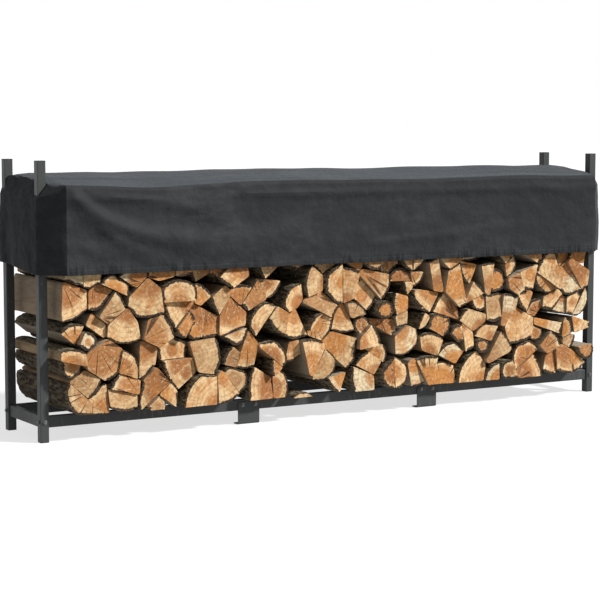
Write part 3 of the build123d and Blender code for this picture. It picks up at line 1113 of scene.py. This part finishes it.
@dataclass
class Section:
    """Outline of one log across the pile, as x and z in complex numbers, with its pith and its bark."""

    outline: list[complex]
    front: float
    back: float
    pith: complex = 0j
    radius: float = 0.0
    bark: list[bool] = field(default_factory=list)
    gentle_turn: float = math.radians(17)
    round_least: int = 3
    split_share: float = 0.72

    def sides(self) -> list[tuple[complex, complex]]:
        """The sides of the outline."""
        return list(zip(self.outline, self.outline[1:] + self.outline[:1]))

    def centre(self) -> complex:
        """Centre of area of the outline."""
        cross = [(start.conjugate() * end).imag for start, end in self.sides()]
        return sum((start + end) * c for (start, end), c in zip(self.sides(), cross)) / (3 * sum(cross))

    def turn(self, index: int) -> float:
        """Angle by which the outline turns at one corner."""
        last, here = self.outline[index - 1], self.outline[index]
        following = self.outline[(index + 1) % len(self.outline)]
        return abs(cmath.phase((following - here) / (here - last)))

    def longest_round(self) -> list[complex]:
        """The longest stretch of corners that turn gently."""
        count = len(self.outline)
        gentle = [self.turn(index) < self.gentle_turn for index in range(count)]
        if all(gentle):
            return self.outline[:2 * count // 3]
        best: list[complex] = []
        for start in range(count):
            run = []
            while gentle[(start + len(run)) % count]:
                run.append(self.outline[(start + len(run)) % count])
            best = max(best, run, key=len)
        return best

    def find_pith(self) -> None:
        """Place the pith at the centre of the round stretch, or at the sharpest corner if there is none."""
        arc = self.longest_round()
        if len(arc) >= self.round_least:
            middle, last = arc[len(arc) // 2] - arc[0], arc[-1] - arc[0]
            cross = 2 * (middle.conjugate() * last).imag
            self.pith = arc[0] + 1j * (middle * abs(last) ** 2 - last * abs(middle) ** 2) / cross
        else:
            self.pith = self.outline[max(range(len(self.outline)), key=self.turn)]
        self.radius = max(abs(corner - self.pith) for corner in self.outline)
        for start, end in self.sides():
            along = (end - start) / abs(end - start)
            distance = abs(((self.pith - start) * along.conjugate()).imag)
            self.bark.append(distance > self.split_share * self.radius)


@dataclass
class LogPile(Piece):
    """Every log of the pile, dressed on the outline of its own solid."""

    cover: Cover
    step: float = 0.0075
    bark_depth: float = 0.0055
    split_depth: float = 0.0028
    bark_width: tuple[float, float] = (0.013, 0.022)
    end_tilt: float = 0.11
    tilt_reach: float = 0.11
    saw_depth: float = 0.0015
    sharp_angle: float = math.radians(40)
    ring_shares: tuple[float, ...] = (0.66, 0.3)
    station_shares: tuple[float, ...] = (0.012, 0.035, 0.08, 0.16, 0.3, 0.5, 0.7, 0.84, 0.92, 0.965, 0.988)
    seed: int = 11
    end_grain: EndGrain = EndGrain()
    bark: Bark = Bark()
    split: SplitFace = SplitFace()

    def read_sections(self, node: bpy.types.Object) -> list[Section]:
        """Outlines of the separate solids in a node.

        Args:
            node: A node of logs.

        Returns:
            One section for each log, from left to right.
        """
        mesh = bmesh.new()
        mesh.from_mesh(node.data)
        bmesh.ops.remove_doubles(mesh, verts=mesh.verts, dist=1e-5)
        sections, seen = [], set()
        for vert in mesh.verts:
            if vert in seen:
                continue
            island, queue = [], [vert]
            seen.add(vert)
            while queue:
                here = queue.pop()
                island.append(here.co)
                around = [edge.other_vert(here) for edge in here.link_edges]
                fresh = [item for item in around if item not in seen]
                seen.update(fresh)
                queue += fresh
            front, back = min(place.y for place in island), max(place.y for place in island)
            corners = [complex(place.x, place.z) for place in island if place.y < (front + back) / 2]
            centre = sum(corners) / len(corners)
            corners.sort(key=lambda corner: cmath.phase(corner - centre))
            sections.append(Section(corners, front, back))
        mesh.free()
        for section in sections:
            section.find_pith()
        return sorted(sections, key=lambda item: item.centre().real)

    def outline_face(self, log: bmesh.types.BMesh, section: Section,
                     bark: bmesh.types.BMLayerItem) -> bmesh.types.BMFace:
        """The front end of a log as one face, with its bark marked and its corners worn round.

        Args:
            log: Empty mesh.
            section: The log's outline.
            bark: Layer that marks the bark.

        Returns:
            The face, turned to the front.
        """
        corners = [log.verts.new((corner.real, section.front, corner.imag)) for corner in section.outline]
        face = log.faces.new(corners)
        edges = [log.edges.get(pair) for pair in zip(corners, corners[1:] + corners[:1])]
        lasts = section.bark[-1:] + section.bark[:-1]
        for vert, here, last in zip(corners, section.bark, lasts):
            vert[bark] = (here + last) / 2
        for edge, under_bark in zip(edges, section.bark):
            cuts = int(edge.calc_length() / self.step)
            if cuts:
                made = bmesh.ops.subdivide_edges(log, edges=[edge], cuts=cuts)
                for item in made["geom_inner"]:
                    if isinstance(item, bmesh.types.BMVert):
                        item[bark] = float(under_bark)
        for passes, least in ((3, 0.9), (2, 0.0)):
            for _ in range(passes):
                worn = [vert for vert in log.verts if vert[bark] >= least]
                bmesh.ops.smooth_vert(log, verts=worn, factor=0.5, use_axis_x=True, use_axis_z=True)
        face.normal_update()
        if face.normal.y > 0:
            bmesh.ops.reverse_faces(log, faces=[face])
        return face

    def model_log(self, section: Section, rng: random.Random) -> bpy.types.Mesh:
        """Model one log.

        Args:
            section: Its outline and ends.
            rng: Source of its unevenness.

        Returns:
            Its mesh.
        """
        log = bmesh.new()
        grain = log.verts.layers.float_vector.new("grain")
        tone = log.verts.layers.float_vector.new("tone")
        bark = log.verts.layers.float.new("bark")
        end = self.outline_face(log, section, bark)
        made = bmesh.ops.extrude_face_region(log, geom=[end], use_keep_orig=True)
        far = [item for item in made["geom"] if isinstance(item, bmesh.types.BMVert)]
        bmesh.ops.translate(log, verts=far, vec=(0, section.back - section.front, 0))
        bmesh.ops.recalc_face_normals(log, faces=log.faces)
        for share in self.station_shares:
            y = section.front + share * (section.back - section.front)
            walls = [face for face in log.faces if abs(face.normal.y) < 0.5]
            bmesh.ops.bisect_plane(log, geom=with_borders(walls), plane_co=(0, y, 0), plane_no=(0, 1, 0))
        self.mark_sides(log, bark)
        self.model_ends(log, section, bark, rng.uniform(*self.bark_width))
        self.roughen(log, section, bark, rng)
        marks = (rng.random(), rng.random(), rng.random())
        for vert in log.verts:
            arm = complex(vert.co.x, vert.co.z) - section.pith
            vert[grain] = (arm.real, arm.imag, section.radius)
            vert[tone] = marks
        self.mark_edges(log)
        data = bpy.data.meshes.new("log")
        log.to_mesh(data)
        log.free()
        return data

    def mark_sides(self, log: bmesh.types.BMesh, bark: bmesh.types.BMLayerItem) -> None:
        """Tell the barked from the split walls.

        Args:
            log: The log.
            bark: Layer that marks the bark.
        """
        for face in log.faces:
            barked = sum(vert[bark] for vert in face.verts) > len(face.verts) / 2
            face.material_index = (Surface.BARK if barked else Surface.SPLIT).value

    def model_ends(self, log: bmesh.types.BMesh, section: Section, bark: bmesh.types.BMLayerItem,
                   width: float) -> None:
        """Give both sawn ends a ring of bark and rings of faces about the middle.

        Args:
            log: The log.
            section: Its outline.
            bark: Layer that marks the bark.
            width: Thickness of the bark.
        """
        centre = Vector((section.centre().real, 0, section.centre().imag))
        for face in [item for item in log.faces if abs(item.normal.y) > 0.5]:
            ring = bmesh.ops.inset_region(log, faces=[face], thickness=0.0, use_even_offset=False)["faces"]
            for vert in face.verts:
                inward = (centre - vert.co) * Vector((1, 0, 1))
                vert.co += inward.normalized() * (width * vert[bark] + self.saw_depth)
                vert[bark] = 0.0
            last = 1.0
            for share in self.ring_shares:
                ring += bmesh.ops.inset_region(log, faces=[face], thickness=0.0,
                                               use_even_offset=False)["faces"]
                bmesh.ops.scale(log, verts=face.verts, vec=(share / last, 1, share / last),
                                space=Matrix.Translation(-centre))
                last = share
            ring += bmesh.ops.poke(log, faces=[face])["faces"]
            for item in ring:
                item.material_index = Surface.END.value

    def roughen(self, log: bmesh.types.BMesh, section: Section, bark: bmesh.types.BMLayerItem,
                rng: random.Random) -> None:
        """Move the surface: furrows in the bark, fibres in split sides, and ends sawn a little askew.

        Args:
            log: The log.
            section: Its ends.
            bark: Layer that marks the bark.
            rng: Source of its unevenness.
        """
        shift = [rng.uniform(-9, 9) for _ in range(3)]
        tilts = [(rng.uniform(-1, 1) * self.end_tilt, rng.uniform(-1, 1) * self.end_tilt) for _ in range(2)]
        centre = section.centre()
        moves = []
        for vert in log.verts:
            x, y, z = vert.co
            arm = Vector((x - centre.real, 0, z - centre.imag))
            move = Vector()
            if any(face.material_index != Surface.END.value for face in vert.link_faces):
                furrow = abs(rough(x * 62 + shift[0], y * 11 + shift[1], z * 62 + shift[2]))
                swell = rough(x * 10 + shift[0], y * 5 + shift[1], z * 10 + shift[2])
                depth = self.split_depth + (self.bark_depth - self.split_depth) * vert[bark]
                move = arm.normalized() * -depth * (0.25 + 1.3 * furrow + 0.45 * abs(swell))
            near = y - section.front < section.back - y
            tilt = tilts[0 if near else 1]
            away = abs(y - (section.front if near else section.back))
            saw = self.saw_depth * rough(x * 28 + shift[0], z * 28 + shift[1], 0.0)
            skew = tilt[0] * arm.x + tilt[1] * arm.z + saw
            move.y = (1 - smooth_step(0.0, self.tilt_reach, away)) * skew
            moves.append((vert, move))
        for vert, move in moves:
            vert.co += move
            vert.co.z = min(vert.co.z, self.cover.ceiling(vert.co.x, vert.co.y))

    def mark_edges(self, log: bmesh.types.BMesh) -> None:
        """Shade the log smooth, apart from the rims of its ends and its sharp corners.

        Args:
            log: The log.
        """
        log.normal_update()
        for face in log.faces:
            face.smooth = True
        for edge in log.edges:
            kinds = {face.material_index == Surface.END.value for face in edge.link_faces}
            edge.smooth = len(kinds) == 1 and edge.calc_face_angle(0.0) < self.sharp_angle

    def build(self) -> None:
        """Model all the courses of the pile."""
        materials = [self.end_grain.material(), self.bark.material(), self.split.material()]
        rng = random.Random(self.seed)
        courses = [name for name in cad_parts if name.startswith("log_course_")]
        for name in sorted(courses, key=lambda item: int(item.rsplit("_", 1)[1])):
            mesh = bmesh.new()
            for section in self.read_sections(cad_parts[name]):
                data = self.model_log(section, rng)
                mesh.from_mesh(data)
                bpy.data.meshes.remove(data)
            made = self.finish(mesh, name.replace("log_", "split_log_"), Slot.WOOD, materials)
            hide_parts(name)


@dataclass
class Studio:
    """Camera at the photograph's angle, a pale floor and plain soft light."""

    eye: tuple[float, float, float] = (-4.4039, -7.4096, 1.3754)
    yaw: float = 0.5265
    pitch: float = -0.0993
    focal_pixels: float = 1848.05
    picture_width: int = 600
    sensor: float = 36.0
    floor_half: float = 60.0
    floor_glow: float = 0.70
    floor_tone: float = 0.36
    sky: float = 0.21
    sun: float = 4.2
    sun_spread: float = 0.10
    sun_travel: tuple[float, float, float] = (-0.58, 0.54, -0.61)

    def build(self) -> None:
        """Set up camera, floor, world and lamp."""
        self.set_camera()
        self.set_floor()
        self.set_world()
        self.set_sun()
        bpy.context.scene.view_settings.view_transform = "Standard"

    def set_camera(self) -> None:
        """Place the camera."""
        data = bpy.data.cameras.new("camera")
        data.sensor_width = self.sensor
        data.lens = self.focal_pixels / self.picture_width * self.sensor
        camera = bpy.data.objects.new("camera", data)
        camera.location = self.eye
        camera.rotation_euler = (math.pi / 2 + self.pitch, 0, -self.yaw)
        bpy.context.scene.collection.objects.link(camera)
        bpy.context.scene.camera = camera

    def seen_directly(self, tree: bpy.types.NodeTree) -> Socket:
        """A share that is 1 for rays from the camera, off gloss or through glass.

        Args:
            tree: The node tree that needs it.

        Returns:
            The share.
        """
        path = tree.nodes.new("ShaderNodeLightPath")
        share = path.outputs["Is Camera Ray"]
        for name in ("Is Glossy Ray", "Is Transmission Ray"):
            either = tree.nodes.new("ShaderNodeMath")
            either.operation = "MAXIMUM"
            tree.links.new(share, either.inputs[0])
            tree.links.new(path.outputs[name], either.inputs[1])
            share = either.outputs[0]
        return share

    def set_floor(self) -> None:
        """Lay a pale floor that shows white in the light and keeps the shadow."""
        mesh = bmesh.new()
        bmesh.ops.create_grid(mesh, x_segments=1, y_segments=1, size=self.floor_half)
        data = bpy.data.meshes.new("floor")
        mesh.to_mesh(data)
        mesh.free()
        floor = bpy.data.objects.new("floor", data)
        bpy.context.scene.collection.objects.link(floor)
        s = Shading("floor")
        s.surface((self.floor_tone,) * 3 + (1.0,), 1.0, None, Specular_IOR_Level=0.0)
        s.shader.inputs["Emission Color"].default_value = (1, 1, 1, 1)
        s.join(s.product(self.seen_directly(s.tree), self.floor_glow), s.shader.inputs["Emission Strength"])
        data.materials.append(s.material)

    def set_world(self) -> None:
        """A plain sky that is white where it is seen and soft where it lights."""
        world = bpy.data.worlds.new("studio")
        world.use_nodes = True
        tree = world.node_tree
        tree.nodes.clear()
        output = tree.nodes.new("ShaderNodeOutputWorld")
        mix = tree.nodes.new("ShaderNodeMixShader")
        tree.links.new(self.seen_directly(tree), mix.inputs[0])
        for socket, strength in ((mix.inputs[1], self.sky), (mix.inputs[2], 1.0)):
            background = tree.nodes.new("ShaderNodeBackground")
            background.inputs["Color"].default_value = (1, 1, 1, 1)
            background.inputs["Strength"].default_value = strength
            tree.links.new(background.outputs[0], socket)
        tree.links.new(mix.outputs[0], output.inputs[0])
        bpy.context.scene.world = world

    def set_sun(self) -> None:
        """Hang a soft key light at the right, in front and above."""
        data = bpy.data.lights.new("sun", "SUN")
        data.energy = self.sun
        data.angle = self.sun_spread
        lamp = bpy.data.objects.new("sun", data)
        lamp.rotation_euler = Vector(self.sun_travel).to_track_quat("-Z", "Y").to_euler()
        bpy.context.scene.collection.objects.link(lamp)


def main() -> None:
    """Build every part of the log store in order."""
    logging.basicConfig(level=logging.INFO, format="%(name)s %(message)s")
    steel = SteelFrame()
    steel.dress()
    steel.add_bolts()
    cover = Cover()
    LogPile(cover).build()
    cover.build()
    Studio().build()


if __name__ == "__main__":
    main()
